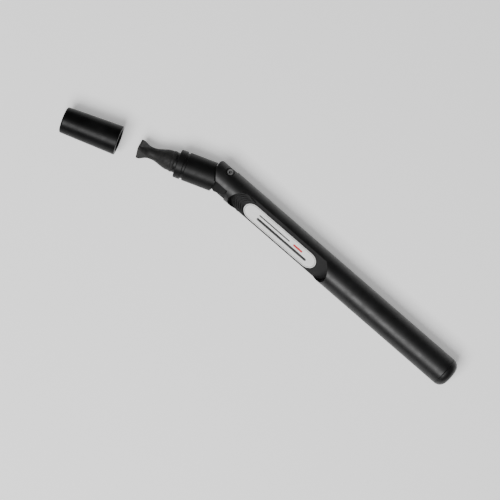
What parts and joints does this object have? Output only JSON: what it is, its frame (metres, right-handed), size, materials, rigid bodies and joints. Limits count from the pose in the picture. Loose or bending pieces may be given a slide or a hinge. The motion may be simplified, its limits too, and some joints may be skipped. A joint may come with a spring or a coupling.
{
  "type": "lens cleaning pen",
  "caption": "Lens cleaning pen with a round barrel, a head that bends on a side hinge, a waisted rubber tip with a flat pad, and a pull-off cap.",
  "frame": {"origin": "centre of the barrel's flat rear end, on the barrel's axis", "axes": "+X is parallel to the cleaning head's axis and points towards the tip and cap; +Z runs along the hinge pin, up as the pen lies on a table; the barrel runs from the origin towards +X and -Y, twenty degrees off X"},
  "size_m": [0.1555, 0.045, 0.0104],
  "materials": {
    "barrel_plastic": "satin black moulded plastic",
    "plug_plastic": "satin black moulded plastic",
    "label_film": "white printed film",
    "pin_steel": "blackened steel",
    "washer_steel": "bright spring steel",
    "knuckle_plastic": "fine-textured black plastic",
    "sleeve_plastic": "semi-gloss black plastic",
    "holder_plastic": "semi-gloss black plastic",
    "tip_rubber": "smooth black rubber",
    "pad_suede": "carbon-treated suede",
    "cap_plastic": "semi-gloss black plastic",
    "insert_felt": "carbon-filled felt"
  },
  "bodies": {
    "barrel": {"barrel": "barrel_plastic", "rear_plug": "plug_plastic", "label": "label_film", "hinge_pin": "pin_steel", "pin_retainer": "pin_steel", "friction_washers": "washer_steel"},
    "head": {"knuckle": "knuckle_plastic", "head_sleeve": "sleeve_plastic", "tip_holder": "holder_plastic", "tip_stem": "tip_rubber", "tip_pad": "pad_suede"},
    "cap": {"cap_shell": "cap_plastic", "cap_insert": "insert_felt"}
  },
  "joints": [
    {"name": "head_bend", "type": "hinge", "parent": "barrel", "child": "head", "pos_m": [0.09487, -0.03815, 0], "axis": [0, 0, 1], "range_deg": [-20, 1.5]},
    {"name": "cap_pull", "type": "slide", "parent": "head", "child": "cap", "axis": [1, 0, 0], "range_m": [-0.0213, 0]}
  ]
}
